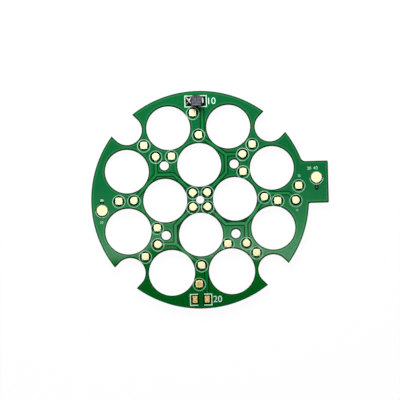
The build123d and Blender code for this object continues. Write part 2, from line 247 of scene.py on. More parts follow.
# %% Distance to the nearest cut edge
TAB_RIGHT_X = laminate_high.x / MM
TAB_LOW_Y = -1.43
TAB_HIGH_Y = 8.55
NOTCH_RADIUS = 3.6
low, high = (Vector(corner) for corner in record["physics"]["openings"][0]["box_m"])
notch_reach = ((low + high).xy / 2 / MM).length


def nearest_of(distances):
    nearest = distances[0]
    for distance in distances[1:]:
        nearest = nearest.least(distance)
    return nearest


def flat_distance(place, middle):
    """Millimetres from a place to an upright axis through a middle."""
    foot = (middle[0], middle[1], 0)
    return place.vector("MULTIPLY", (1, 1, 0)).vector("DISTANCE", foot, output="Value")


def hole_distance(place):
    """Millimetres to the nearest hole or notch."""
    x, y, z = place.xyz()
    nearest = nearest_of([flat_distance(place, hole) - hole[2] for hole in holes])
    # The four notches lie on the diagonals, so one sum on |x| and |y| covers them all.
    along = (abs(x) + abs(y)) / math.sqrt(2) - notch_reach
    across = (abs(x) - abs(y)) / math.sqrt(2)
    notch = place.nodes.node("ShaderNodeCombineXYZ", {}, {"X": along.least(0), "Y": across})
    return nearest.least(notch.vector("LENGTH", output="Value") - NOTCH_RADIUS)


def rim_distance(place):
    """Millimetres to the round rim or the tab's edge."""
    x, y, z = place.xyz()
    tab = (y - TAB_LOW_Y).least(TAB_HIGH_Y - y).least(TAB_RIGHT_X - x).least(x)
    return (board_radius - flat_distance(place, (0, 0))).most(tab)


print("cut edges follow", len(holes), "holes, four notches, the rim and the tab")

# %% [markdown]
# ## Where are the pads?
# Many finishes change round a pad: the mask stops short of it, and a printed ring goes round it. The
# nodes' boxes give the middles. A land has a spoke to its via, which makes its box taller than its
# disc, so the disc is taken from the box's width.

# %% Middles of the pads and lands
def middle_of(node):
    """Middle of a node's box, in millimetres."""
    low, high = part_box(node)
    return (low + high) / 2 / MM


def half_width(node):
    """Half the width of a node's box, in metres."""
    low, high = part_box(node)
    return (high.x - low.x) / 2


def via_side(land):
    """1 where a land's via lies above the land's middle on the board, and -1 where it lies below."""
    via = middle_of(land.replace("_land", "_via"))
    return 1 if via.y > middle_of(land).y else -1


def land_middle(name):
    """Middle of a land's disc, whose spoke points at the via."""
    low, high = (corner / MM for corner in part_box(name))
    radius = half_width(name) / MM
    y = low.y + radius if via_side(name) > 0 else high.y - radius
    return Vector(((low.x + high.x) / 2, y, high.z))


chips = ("inductor", "resistor")
land_middles = {name: land_middle(name) for name in nodes if name.endswith("_land")}
chip_pads = [f"{chip}_{side}_pad" for chip in chips for side in ("ground", "signal")]
pad_middles = {name: middle_of(name) for name in nodes if "_pad" in name and name not in chip_pads}
HUB_PADS_WITHIN = 3
hub_middles = [middle for middle in pad_middles.values() if middle.xy.length < HUB_PADS_WITHIN]
print("round pads", len(pad_middles), "lands", len(land_middles), "chip pads", len(chip_pads))

# %% [markdown]
# ## Openings in the mask
# The mask leaves a window round each pad, a little larger than the pad, so that solder finds the
# gold. Circles and squares are all there is, so a second set of distances gives the nearest window.

# %% Distance to the nearest opening
PAD_OPENING = 1.16  # radii of the round windows
LAND_OPENING = 1.5
CHIP_OPENING = 0.08  # margin of the square windows
chip_low, chip_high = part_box("resistor_signal_pad")
chip_half = (chip_high - chip_low) / 2 / MM


def chip_pad_distance(place, middle):
    """Millimetres outside a chip pad's square, below zero inside it."""
    x, y, z = place.xyz()
    return (abs(x - middle.x) - chip_half.x).most(abs(y - middle.y) - chip_half.y)


def chip_distance(place):
    """Millimetres to the nearest chip pad."""
    return nearest_of([chip_pad_distance(place, middle_of(name)) for name in chip_pads])


def opening_distance(place):
    """Millimetres to the nearest opening's edge, below zero inside it."""
    openings = [(middle, PAD_OPENING) for middle in pad_middles.values()]
    openings += [(middle, LAND_OPENING) for middle in land_middles.values()]
    outside = [flat_distance(place, middle) - radius for middle, radius in openings]
    return nearest_of(outside).least(chip_distance(place) - CHIP_OPENING)


print("openings", len(pad_middles) + len(land_middles), "round and", len(chip_pads), "square")

# %% [markdown]
# ## Line of the sheen
# Below a line that steps up and down across the board the mask's green is painted darker as painted
# shade, and above it a soft sheen lies on it. One curve gives the line's height for the mask here and
# for the card that makes the sheen later, so that both end at the same place.

# %% Height of the line
LINE_LOW = -14.2
LINE_STEPS = ((-4, -3, 3.2), (-13, -2, -2.3), (-18.5, -2, -0.7), (15.5, 7, -1.8))


def line_height(x):
    """Height of the line over x, in millimetres: each step is (middle, width, rise)."""
    height = x * 0 + LINE_LOW
    for middle, width, rise in LINE_STEPS:
        share = ((x - middle) / width + 0.5).clamp()
        height = height + share * rise
    return height


print("line steps", len(LINE_STEPS))

# %% [markdown]
# ## Marks under and on the mask
# Three small things break the even green. The mask runs over each arm that leaves the hub pads. Two
# slots were etched beside the spoke from a land to its via. In front of the inductor the green is
# darkened as a painted shadow of its body. Cuts would change the CAD mesh, so each is a share from 0
# to 1, made from distances.

# %% Arms, slots and painted shadow
HUB_LOOP_OUTSIDE = middle_of("signal_pad_09").x + 0.3
ARM_COVER_RADIUS = 1.4  # from a hub pad's middle
SLOT_PLACE = Vector((0.31, 1.88))  # beside the spoke, and from the land's middle along it
SLOT_HALF_LENGTH = 0.23
SLOT_HALF_WIDTH = 0.15
SHADOW_HALF_SIZE = Vector((0.75, 0.2))
SHADOW_SHIFT = Vector((0.3, -0.12))  # from the middle of the inductor's front edge


def arm_start(place):
    """1 where the mask runs over an arm, outside the square of hub pads and up to the pad."""
    x, y, z = place.xyz()
    past_loop = abs(x).most(abs(y)).above(HUB_LOOP_OUTSIDE, 0.05)
    from_pad = nearest_of([flat_distance(place, middle) for middle in hub_middles])
    return past_loop * from_pad.below(ARM_COVER_RADIUS, 0.1)


def spoke_slots(place):
    """1 in the two etched slots beside the spoke from each land to its via."""
    x, y, z = place.xyz()
    slots = []
    for name, middle in land_middles.items():
        along = abs((y - middle.y) * via_side(name) - SLOT_PLACE.y)
        across = abs(abs(x - middle.x) - SLOT_PLACE.x) + SLOT_HALF_LENGTH - SLOT_HALF_WIDTH
        slots.append(along.most(across).below(SLOT_HALF_LENGTH, 0.06))
    return slots[0].most(slots[1])


def painted_inductor_shadow(place):
    """1 in the painted shadow along the front edge of the inductor."""
    x, y, z = place.xyz()
    low, high = (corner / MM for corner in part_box("inductor_core"))
    beside = abs(x - (low.x + high.x) / 2 - SHADOW_SHIFT.x) - SHADOW_HALF_SIZE.x
    before = abs(y - low.y - SHADOW_SHIFT.y) - SHADOW_HALF_SIZE.y
    return beside.most(before).below(0.06, 0.14)


print("hub pads", len(hub_middles), "pairs of slots", len(land_middles))

# %% [markdown]
# ## Green mask on the copper
# The solder mask is a clear green lacquer, through which the copper shines back. Glass over metal
# would be slow and noisy, and half metallic green under a clear coat looks much the same. It is
# lighter on the copper's shoulder, and gold lies bare in the openings.

# %% Mask over the copper
BARE_COPPER_GOLD = (0.92, 0.88, 0.58)
GOLD_END = 0.16  # the gold on a spoke stops this far inside the opening
HUB_SHADE_RADIUS = 3.3
HUB_SHADE = (0.0, 0.06, 0.018)
SLOT_COLOUR = (0.0, 0.004, 0.0015)
PAINTED_SHADOW_COLOUR = (0.003, 0.004, 0.003)
CHIP_SHADE = 0.3  # the mask is dark this far out from the chip pads
SHOULDER_PLACE = 0.45  # the copper's shoulder runs this far inside the cut edge
SHOULDER_WIDTH = 0.2


def mask_green(finish, place, pale, shaded, edge):
    """Colour of the lacquer: pale and shaded are pairs of greens, shaded the painted shade below the
    line, and edge that of the shoulder.
    """
    x, y, z = place.xyz()
    clouds = finish.noise(place, 0.35) * 0.5 + finish.noise(place, 1.3, 3.0).above(0.5, 0.5) * 0.5
    # thick is 1 below the line, where the green is painted darker as painted shade
    thick = (y - line_height(x)).below(0, 1.6)
    colour = finish.mix(thick, finish.mix(clouds, *pale), finish.mix(clouds, *shaded))
    distance = hole_distance(place).least(rim_distance(place))
    shoulder = (1 - abs(distance - SHOULDER_PLACE) / SHOULDER_WIDTH).clamp()
    colour = finish.mix(shoulder * (0.7 - thick * 0.6), colour, edge)
    hub = flat_distance(place, (0, 0)).below(HUB_SHADE_RADIUS, 0.8)
    return finish.mix((hub * 0.55).most(arm_start(place) * 0.8), colour, HUB_SHADE)


def masked_copper(name, pale, shaded, edge):
    """Green lacquer on copper, with bare gold in the openings."""
    finish = Finish(name, Specular_IOR_Level=0.0, Coat_Roughness=0.04)
    place = finish.place()
    dull = spoke_slots(place).most(chip_distance(place).below(CHIP_SHADE, 0.1))
    # the painted shadow in front of the inductor darkens the green and takes away its gloss
    painted_shadow = painted_inductor_shadow(place)
    colour = finish.mix(dull, mask_green(finish, place, pale, shaded, edge), SLOT_COLOUR)
    colour = finish.mix(painted_shadow, colour, PAINTED_SHADOW_COLOUR)
    bare = opening_distance(place).below(-GOLD_END, 0.06) * (1 - arm_start(place))
    gloss = ((finish.noise(place, 5.0) - 0.5) * 1.6 + 0.9).clamp()
    finish.look(
        Base_Color=finish.mix(bare, colour, BARE_COPPER_GOLD),
        Metallic=0.5 - bare * 0.15,
        Roughness=0.15 + bare * 0.2,
        Coat_Weight=gloss * (1 - bare) * (1 - painted_shadow.most(dull) * 0.85))
    finish.bump(finish.noise(place, 2.2, 3.0), 0.06, 0.02 * MM)
    return finish.material


# The pale greens lie above the sheen's line, and the darker ones below it are painted shade.
PALE_POUR = (0.0045, 0.192, 0.05), (0.0065, 0.222, 0.062)
SHADED_POUR = (0.0003, 0.145, 0.012), (0.0006, 0.165, 0.017)
PALE_TRACK = (0.01, 0.27, 0.065), (0.02, 0.31, 0.08)
SHADED_TRACK = (0.001, 0.2, 0.03), (0.002, 0.22, 0.036)
pour = masked_copper("masked_pour", PALE_POUR, SHADED_POUR, (0.05, 0.34, 0.09))
track = masked_copper("masked_track", PALE_TRACK, SHADED_TRACK, (0.02, 0.31, 0.08))
print(pour.name, track.name)

# %% [markdown]
# ## Cut edge of the laminate
# The board is glass cloth in resin. Where it was drilled and milled, the cloth shows as pale and dark
# bands, and milling drags a little mask over the outer rim. Stripes would look too even, so noise is
# squashed in height, which turns its spots into thin layers. A dark line along the upper edges of the
# holes and of the rim is painted shade.

# %% Walls and painted edge shade
WALL_BROWNS = (0.006, 0.009, 0.003), (0.03, 0.024, 0.008)
CLOTH_BROWN = (0.06, 0.055, 0.02)
RIM_WALL_GREENS = (0.01, 0.07, 0.025), (0.03, 0.13, 0.05)
STEP_DOWN = 0.1  # a place this far down the board tells on which side of a hole an edge is


def cut_wall(finish, place, rim_edge):
    """Brown glass-epoxy in the holes, greener on the outer rim."""
    fibre = finish.noise(place, 3.0, 4.0)
    layers = finish.noise(place.vector("MULTIPLY", (0.6, 0.6, 9)), 1.0)
    wall = finish.mix(fibre, *WALL_BROWNS)
    wall = finish.mix(layers.above(0.55, 0.1) * 0.5, wall, CLOTH_BROWN)
    rim_wall = finish.mix(layers, *RIM_WALL_GREENS)
    return finish.mix(rim_edge.below(0.1, 0.1) * 0.7, wall, rim_wall)


def painted_edge_shade(place, hole_edge, rim_edge):
    """1 in a painted shade above each hole, and all round it on the board's upper part."""
    x, y, z = place.xyz()
    lower_place = place.vector("ADD", (0, -STEP_DOWN, 0))
    above_hole = ((hole_edge - hole_distance(lower_place)) / STEP_DOWN).above(0.3, 0.8)
    upper_part = y.above(-6, 8)
    at_hole = hole_edge.below(0.14, 0.1) * upper_part.most(above_hole)
    return at_hole.most(rim_edge.below(0.12, 0.08) * upper_part)


print("wall colours", len(WALL_BROWNS) + len(RIM_WALL_GREENS))

# %% [markdown]
# ## Mask over the laminate
# Over bare laminate no metal shines back through the lacquer, so the gaps are nearly black and the
# band along a cut edge is dark green. The openings leave the laminate bare, and a brown line shows
# round the upper half of each land. Levels tell the faces from the walls, in one material.

# %% Mask over the laminate
GAP_GLOSS = 0.35  # share of the gloss that the mask keeps in the gaps
GAP_GREEN = (0.0, 0.026, 0.006)
HOLE_EDGE_GREEN = (0.0, 0.06, 0.015)
RIM_GREEN = (0.0, 0.09, 0.023)
# dark green of the painted edge shade, and of the mask's lap over the chip pads
EDGE_SHADE_AND_LAP_GREEN = (0.002, 0.014, 0.004)
BARE_LAMINATE = (0.0004, 0.008, 0.0015)
UNDERSIDE_GREENS = (0.0004, 0.1, 0.02), (0.0008, 0.2, 0.042)
LAND_BROWN = (0.3, 0.18, 0.06)
LAND_GREEN = (0.001, 0.2, 0.037)
LAND_LINE = 1.4  # the brown line round a land's upper half ends here
LAND_MASK_END = LAND_OPENING + 0.2
SKIN = 0.02  # height within which a face counts as the top or the underside
EDGE_BAND = 0.3  # width of the green band along a cut edge


def gap_green(finish, place, bare):
    """Colour of the upper face, and how bare it is once the lands' upper halves are covered."""
    x, y, z = place.xyz()
    hole_edge, rim_edge = hole_distance(place), rim_distance(place)
    gap = finish.mix(hole_edge.below(EDGE_BAND, 0.1), GAP_GREEN, HOLE_EDGE_GREEN)
    gap = finish.mix(rim_edge.below(EDGE_BAND, 0.1), gap, RIM_GREEN)
    gap = finish.mix(painted_edge_shade(place, hole_edge, rim_edge), gap, EDGE_SHADE_AND_LAP_GREEN)
    gap = finish.mix(bare, gap, BARE_LAMINATE)
    for middle in land_middles.values():
        from_middle = flat_distance(place, middle)
        covered = (y - middle.y).above(0.3, 0.8) * from_middle.below(LAND_MASK_END, 0.1)
        gap = finish.mix(covered, gap, LAND_GREEN)
        gap = finish.mix(covered * from_middle.below(LAND_LINE, 0.06), gap, LAND_BROWN)
        bare = bare * (1 - covered * from_middle.above(LAND_LINE, 0.06))
    return gap, bare


def masked_laminate():
    """Dark mask on both faces, and the cut glass-epoxy at the walls."""
    finish = Finish("masked_laminate", Roughness=0.5, Coat_Roughness=0.04, Specular_IOR_Level=0.0)
    place, x, y, z = finish.where()
    top = z.above(laminate_high.z / MM - SKIN, SKIN)
    bottom = z.below(SKIN, SKIN)
    bare = opening_distance(place).least(chip_distance(place) - CHIP_SHADE).below(0, 0.06)
    gap, bare = gap_green(finish, place, bare)
    wall = cut_wall(finish, place, rim_distance(place))
    underside = finish.mix(finish.noise(place, 0.35, 3.0), *UNDERSIDE_GREENS)
    colour = finish.mix(bottom, wall, underside)
    finish.look(
        Base_Color=finish.mix(top, colour, gap),
        Coat_Weight=bottom + top * (1 - bare) * GAP_GLOSS)
    return finish.material


laminate = masked_laminate()
print(laminate.name)

# %% [markdown]
# ## Gold of the pads
# The pads have a thin gold finish. From the crown out to the rim it is painted paler as a painted
# highlight, over a thin darker edge of painted shade. Each pad could have its own map, but all are
# modelled to the same heights, so height above the copper tells crown from rim. One pad near the lower
# rim is painted a deeper gold, as painted shade where the sheen ends.

# %% Crowned gold
CROWN_HEIGHTS = (0.012, 0.024, 0.034, 0.042, 0.048, 0.051)  # rim to middle, above the copper
EDGE_SHADE_GOLD = (0.5, 0.4, 0.2)


def crowned_gold(name, dull, bright, rim):
    finish = Finish(name, Metallic=0.15)
    place, x, y, z = finish.where()
    height = z - copper_high.z / MM
    spots = finish.noise(place, 2.5, 3.0)
    crown = height.above(CROWN_HEIGHTS[-3], 0.008)
    # the paler rim colour is a painted highlight, and the darker gold at the very edge a painted shade
    colour = finish.mix(crown, rim, finish.mix(spots, dull, bright))
    past_edge = height.above(CROWN_HEIGHTS[0] + 0.004, 0.006)
    finish.look(Base_Color=finish.mix(past_edge, EDGE_SHADE_GOLD, colour), Roughness=spots * 0.12 + 0.3)
    finish.bump(spots, 0.1, 0.01 * MM)
    return finish.material


gold = crowned_gold("pale_gold", (0.9, 0.86, 0.41), (0.94, 0.92, 0.5), (0.97, 0.97, 0.76))
land_gold = crowned_gold("land_gold", (0.91, 0.87, 0.46), (0.94, 0.93, 0.54), (0.96, 0.94, 0.78))
painted_shade_gold = crowned_gold("painted_shade_gold", (0.5, 0.38, 0.12), (0.72, 0.5, 0.16), (1.0, 0.8, 0.36))
print(gold.name, land_gold.name, painted_shade_gold.name)

# %% [markdown]
# ## Gold of the empty chip place
# These two square pads were dipped and never used. The metal set bright along the edges and the
# diagonals, with mottled hollows between, and the mask laps over the edge. The distances to the edge
# and to the diagonals give both, with no drawing.

# %% Chip gold
MASK_LAP = 0.12  # the mask laps over the edge of a chip pad by this much
HOLLOW_BROWNS = (0.3, 0.22, 0.08), (0.7, 0.42, 0.2)
RIDGE_GOLD = (1.0, 0.8, 0.3)
RIDGE_FROM_EDGE = 0.24
RIDGE_FROM_DIAGONAL = 0.1
WAIST_HALF_HEIGHT = 0.5


def chip_gold(pad, waist):
    """Square pad that is drawn in a little at its waist, in millimetres."""
    finish = Finish(f"worn_gold_{pad}", Metallic=0.15, Roughness=0.35)
    place, x, y, z = finish.where()
    middle = middle_of(pad)
    mottle = finish.noise(place, 3.2, 3.0)
    hollow = finish.mix(mottle.above(0.5, 0.2), *HOLLOW_BROWNS)
    from_edge = 0 - chip_pad_distance(place, middle)
    from_diagonal = abs(abs(x - middle.x) - abs(y - middle.y) * (chip_half.x / chip_half.y))
    edge_ridge = from_edge.below(RIDGE_FROM_EDGE, 0.12)
    ridge = edge_ridge.most(from_diagonal.below(RIDGE_FROM_DIAGONAL, 0.12))
    colour = finish.mix(ridge * 0.85, hollow, RIDGE_GOLD)
    lap = (1 - abs(y - middle.y) / WAIST_HALF_HEIGHT).clamp() * waist + MASK_LAP
    finish.look(Base_Color=finish.mix(from_edge.below(lap, 0.08), colour, EDGE_SHADE_AND_LAP_GREEN))
    finish.bump(mottle, 0.2, 0.01 * MM)
    return finish.material


WAISTS = {"resistor_ground_pad": 0.06, "resistor_signal_pad": 0}
worn_gold = {pad: chip_gold(pad, waist) for pad, waist in WAISTS.items()}
print("worn gold", list(worn_gold))

# %% [markdown]
# ## Solder and wire
# The inductor stands in two mounds of solder, bright metal that shows the dark room and a few glints
# of the lamp. Both are painted: a dark base is the painted reflection and a bright shape on it the
# painted glints, its outline bent by noise, which is easier to steer than real ripples in the mesh.
# The winding is copper wire under clear enamel.

# %% Solder and wire
PAINTED_DARK_REFLECTION, PAINTED_SOLDER_GLINT = (0.006, 0.006, 0.005), (1.0, 0.98, 0.92)
CROSS_MIDDLE = Vector((0.34, 0.12))  # from a joint's middle, outwards and up the board
CROSS_SLANT = 1.3
CROSS_HALF_WIDTH = 0.16
BLOCK_MIDDLE = Vector((0.2, 0.1))
BLOCK_HALF_SIZE = Vector((0.18, 0.56))


def cross(along, across):
    """Millimetres outside two painted glints that cross."""
    slanted = abs(along - CROSS_MIDDLE.x) * CROSS_SLANT
    return abs(slanted - abs(across - CROSS_MIDDLE.y)) - CROSS_HALF_WIDTH


def block(along, across):
    """Millimetres outside one upright painted glint."""
    beside = abs(along - BLOCK_MIDDLE.x) - BLOCK_HALF_SIZE.x
    return beside.most(abs(across - BLOCK_MIDDLE.y) - BLOCK_HALF_SIZE.y)


def solder_with_painted_glints(name, side, glint_shape):
    """Solder of one joint, with painted reflection and glints. The side is 1 on the right and -1 on
    the left.
    """
    finish = Finish(name, Metallic=0.6, Roughness=0.3)
    place, x, y, z = finish.where()
    middle = middle_of(f"{name}_joint")
    ripple = finish.noise(place, 2.0)
    outside = glint_shape((x - middle.x) * side, y - middle.y) + (ripple - 0.5) * 0.8
    finish.look(Base_Color=finish.mix(outside.below(0, 0.08), PAINTED_DARK_REFLECTION, PAINTED_SOLDER_GLINT))
    finish.bump(ripple, 0.3, 0.02 * MM)
    return finish.material


def copper_wire():
    finish = Finish("copper_wire", Metallic=1.0)
    spots = finish.noise(finish.place(), 4.0, 3.0)
    colour = finish.mix(spots, (0.42, 0.17, 0.07), (0.6, 0.27, 0.12))
    finish.look(Base_Color=colour, Roughness=spots * 0.12 + 0.3)
    finish.bump(spots, 0.1, 0.01 * MM)
    return finish.material


left_solder = solder_with_painted_glints("left_solder", -1, cross)
right_solder = solder_with_painted_glints("right_solder", 1, block)
wire = copper_wire()
print(left_solder.name, right_solder.name, wire.name)

# %% [markdown]
# ## Ferrite
# The inductor's drum is pressed from ferrite powder and fired, which leaves a grey, finely speckled
# body. Its rounded ends and back edge are painted darker as painted shade, and a light line along its
# front edge is a painted highlight. The bands are measured from the drum's box, so they stay on its
# edges when its size changes.

# %% Ferrite
FERRITE_GREYS = (0.03, 0.03, 0.033), (0.12, 0.13, 0.145)
FERRITE_PAINTED_SHADE = (0.004, 0.004, 0.004)
FERRITE_PAINTED_HIGHLIGHT = (0.2, 0.22, 0.24)
END_BAND = 0.26  # width of the painted shade bands at the left and right ends
BACK_BAND = 0.15
HIGHLIGHT_PLACE = 0.2  # the painted highlight runs this far inside the front edge
HIGHLIGHT_WIDTH = 0.16


def pressed_ferrite():
    finish = Finish("pressed_ferrite", Roughness=0.5, Specular_IOR_Level=0.3)
    place, x, y, z = finish.where()
    low, high = (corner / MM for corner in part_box("inductor_core"))
    speckle = finish.noise(place, 2.6, 4.0)
    colour = finish.mix(speckle.above(0.5, 0.3), *FERRITE_GREYS)
    half_length = half_width("inductor_core") / MM
    end_shade = abs(x - (low.x + high.x) / 2).above(half_length - END_BAND, 0.3)
    end_shade = end_shade.most(y.above(high.y - BACK_BAND, 0.2) * 0.8)
    colour = finish.mix(end_shade * 0.9, colour, FERRITE_PAINTED_SHADE)
    front_highlight = (1 - abs(y - low.y - HIGHLIGHT_PLACE) / HIGHLIGHT_WIDTH).clamp()
    finish.look(Base_Color=finish.mix(front_highlight * 0.6, colour, FERRITE_PAINTED_HIGHLIGHT))
    finish.bump(speckle, 0.3, 0.02 * MM)
    return finish.material


ferrite = pressed_ferrite()
print(ferrite.name)

# %% [markdown]
# ## Fill of the vias
# A via is a plated hole that joins the two faces. Lacquer sank into both and dried glossy. Each fill
# is painted dark as the shade in its dip, with a paler oval at the middle as a painted highlight. Both
# share one shader and differ only in colours and in the size of a flat oval, which with a noisy
# outline makes the spot.

# %% Fill of the vias
def via_fill(name, middle, colour, highlight_colour, oval_size):
    """The oval has a half width, a half height and a rise above the via's middle."""
    finish = Finish(name, Roughness=0.3, Coat_Weight=1.0, Coat_Roughness=0.08)
    place, x, y, z = finish.where()
    width, height, rise = oval_size
    flecks = finish.noise(place, 2.4)
    oval = abs((x - middle.x) / width).most(abs((y - middle.y - rise) / height))
    # dark ground as painted shade in the dip, paler oval at the middle as a painted highlight
    painted_highlight = (oval + (flecks - 0.5) * 0.6).below(0.95, 0.25)
    finish.look(Base_Color=finish.mix(painted_highlight, colour, highlight_colour))
    finish.bump(flecks, 0.2, 0.02 * MM)
    return finish.material


dark_fill = via_fill(
    "dark_via_fill", middle_of("tab_via"), (0.0, 0.002, 0.001), (0.1, 0.2, 0.14), (0.13, 0.1, 0.12))
pale_fill = via_fill(
    "pale_via_fill", middle_of("left_via"), (0.0, 0.006, 0.003), (0.3, 0.5, 0.4), (0.4, 0.28, 0.05))
print(dark_fill.name, pale_fill.name)

# %% [markdown]
# ## Dress the CAD nodes
# Every node of the board gets its finish here. It could be given by hand to one piece after another,
# but a table by name shows at a glance what is what. A CAD node keeps its mesh and only gets a better
# material.

# %% Assign the finishes
by_name = {
    "laminate": laminate,
    "ground_copper": pour,
    "signal_copper": track,
    "inductor_core": ferrite,
    "inductor_winding": wire,
    "inductor_ground_pad": left_solder,
    "inductor_signal_pad": right_solder,
    "left_via": pale_fill,
    "tab_via": dark_fill,
    "ground_pad_06": painted_shade_gold,
    **worn_gold,
}
by_part = (("left_", left_solder), ("right_", right_solder), ("", gold))
for name, node in nodes.items():
    finish = by_name.get(name)
    if name.endswith("_land"):
        finish = land_gold
    elif not finish:
        finish = next(material for part, material in by_part if part in name)
    if not node.material_slots:
        node.data.materials.append(finish)
    for slot in node.material_slots:
        slot.material = finish
print("dressed", len(nodes), "nodes")

# %% [markdown]
# ## Helpers for modelling
# The modelled pieces start from a circle, a plane or a copy, and grow in edit mode. An operator works
# on whatever is selected, so the steps that come back are helpers which select first.

# %% Helpers for modelling
def select_only(piece):
    bpy.ops.object.select_all(action="DESELECT")
    piece.select_set(True)
    bpy.context.view_layer.objects.active = piece


def settle(piece, name):
    """Names a piece and puts its place into its mesh."""
    piece.name = name
    piece.data.name = name
    select_only(piece)
    bpy.ops.object.transform_apply(location=True, rotation=True, scale=True)
    return piece


def twin_of(piece):
    """Copy of a piece with its own mesh."""
    twin = piece.copy()
    twin.data = piece.data.copy()
    bpy.context.collection.objects.link(twin)
    return twin


def copy_to(piece, name, place):
    """Copy of a piece that was modelled at the origin, at another place."""
    twin = twin_of(piece)
    twin.location = (place.x, place.y, 0)
    return settle(twin, name)


def join(pieces, name):
    select_only(pieces[0])
    for piece in pieces:
        piece.select_set(True)
    bpy.ops.object.join()
    return settle(pieces[0], name)


def start_edit():
    """Opens the mesh of the active piece and selects all of it."""
    bpy.ops.object.mode_set(mode="EDIT")
    bpy.ops.mesh.select_all(action="SELECT")


def raise_faces(height):
    bpy.ops.mesh.extrude_region_move(TRANSFORM_OT_translate={"value": (0, 0, height)})


def step_inwards(radius, shares, lifts):
    """Insets a face from share to share of a radius, and lifts it some millimetres each time."""
    for outer, inner, lift in zip(shares, shares[1:], lifts):
        bpy.ops.mesh.inset(thickness=(outer - inner) * radius)
        bpy.ops.transform.translate(value=(0, 0, lift * MM))


def end_edit():
    """Turns every face outwards and closes the mesh."""
    bpy.ops.mesh.select_all(action="SELECT")
    bpy.ops.mesh.normals_make_consistent(inside=False)
    bpy.ops.object.mode_set(mode="OBJECT")


print("modelling helpers ready")

# %% [markdown]
# ## Pads
# Each pad was dipped in molten metal, which set as a low crown with a rolled edge. A spun curve would
# do as well, but a disc that is raised, then inset and lifted a little at a time, needs only two
# tools. One pad and one land are modelled, and their copies stand in for the flat CAD pads.

# %% One pad and one land, then their copies
PAD_SIDES = 48
CROWN_SHARES = (1.0, 0.965, 0.9, 0.76, 0.55, 0.29)  # of the radius, rim to middle
LAND_MARGIN = 0.04  # a land's crown ends this far inside it
SMOOTH_UNDER = math.radians(50)  # faces that meet at less look smooth


def crowned_disc(name, radius):
    bpy.ops.mesh.primitive_circle_add(
        vertices=PAD_SIDES, radius=radius, fill_type="NGON", location=(0, 0, copper_high.z))
    start_edit()
    raise_faces(CROWN_HEIGHTS[0] * MM)
    lifts = [high - low for low, high in zip(CROWN_HEIGHTS, CROWN_HEIGHTS[1:])]
    step_inwards(radius, CROWN_SHARES, lifts)
    end_edit()
    bpy.ops.object.shade_smooth_by_angle(angle=SMOOTH_UNDER)
    return settle(bpy.context.object, name)


pad_pattern = crowned_disc("pad_pattern", half_width("signal_pad_01"))
land_pattern = crowned_disc("land_pattern", half_width("tab_land") - LAND_MARGIN * MM)
for name, middle in {**pad_middles, **land_middles}.items():
    pattern = land_pattern if name in land_middles else pad_pattern
    crown = copy_to(pattern, f"{name}_crown", middle * MM)
    crown.data.materials.append(nodes[name].material_slots[0].material)
    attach(crown, "root")
    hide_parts(name)
for pattern in (pad_pattern, land_pattern):
    bpy.data.objects.remove(pattern)
print("crowned pads and lands", len(pad_middles) + len(land_middles))

# %% [markdown]
# ## Vias
# The lacquer in a via fills the hole and spreads to a low head on the copper, sunk in its middle. It
# could be two cylinders with a dent, but one circle that is pulled up, widened and stepped inwards
# stays a single closed solid.

# %% Vias as plugs with a dished head
PLUG_SIDES = 32
SHANK_SHARE = 0.62  # of the head's radius
HEAD_EDGE = 0.01  # height of the head's upright edge
PLUG_SHARES = (1.0, 0.9, 0.75, 0.5, 0.25)  # of the head's radius, rim to middle
PLUG_LIFTS = (0.012, 0.006, -0.006, -0.012)  # steps up, then down into the dish


def plug(name):
    """A round shank through the board, with a dished head on the copper."""
    low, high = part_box(name)
    middle = (low + high) / 2
    head = half_width(name)
    shank = head * SHANK_SHARE
    bpy.ops.mesh.primitive_circle_add(
        vertices=PLUG_SIDES, radius=shank, fill_type="NGON", location=(middle.x, middle.y, low.z))
    start_edit()
    raise_faces(copper_high.z - low.z)
    raise_faces(0)
    spread = head / shank
    bpy.ops.transform.resize(value=(spread, spread, 1), center_override=(middle.x, middle.y, 0))
    raise_faces(HEAD_EDGE * MM)
    step_inwards(head, PLUG_SHARES, PLUG_LIFTS)
    end_edit()
    bpy.ops.object.shade_smooth_by_angle(angle=SMOOTH_UNDER)
    piece = settle(bpy.context.object, f"{name}_plug")
    piece.data.materials.append(nodes[name].material_slots[0].material)
    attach(piece, "root")
    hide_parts(name)
    return piece


plugs = [plug(name) for name in ("left_via", "tab_via")]
print("plugs", [piece.name for piece in plugs])

# %% [markdown]
# ## Drum of the inductor
# The press leaves the drum's edges a little rounded. In the CAD model they would cost many faces, so
# a copy of the CAD drum gets a bevel here. Its loose triangles are welded first, because a bevel only
# follows edges that faces share.

# %% Rounded drum
WELD = 0.001 * MM
EDGE_ROUND = 0.05 * MM
drum = settle(twin_of(nodes["inductor_core"]), "inductor_drum")
start_edit()
bpy.ops.mesh.remove_doubles(threshold=WELD)
bpy.ops.object.mode_set(mode="OBJECT")
edge = drum.modifiers.new("edge", "BEVEL")
edge.width = EDGE_ROUND
edge.segments = 3
edge.limit_method = "ANGLE"
edge.angle_limit = math.radians(40)
bpy.ops.object.modifier_apply(modifier="edge")
bpy.ops.object.shade_smooth_by_angle(angle=math.radians(35))
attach(drum, "root")
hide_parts("inductor_core")
print("drum faces", len(drum.data.polygons))

# %% [markdown]
# ## Winding of the inductor
# The wire lies round the drum's waist in a single layer. A screw modifier would wind one long helix,
# but at this size nobody sees the pitch, so each turn is a plain ring, spun from one small circle.

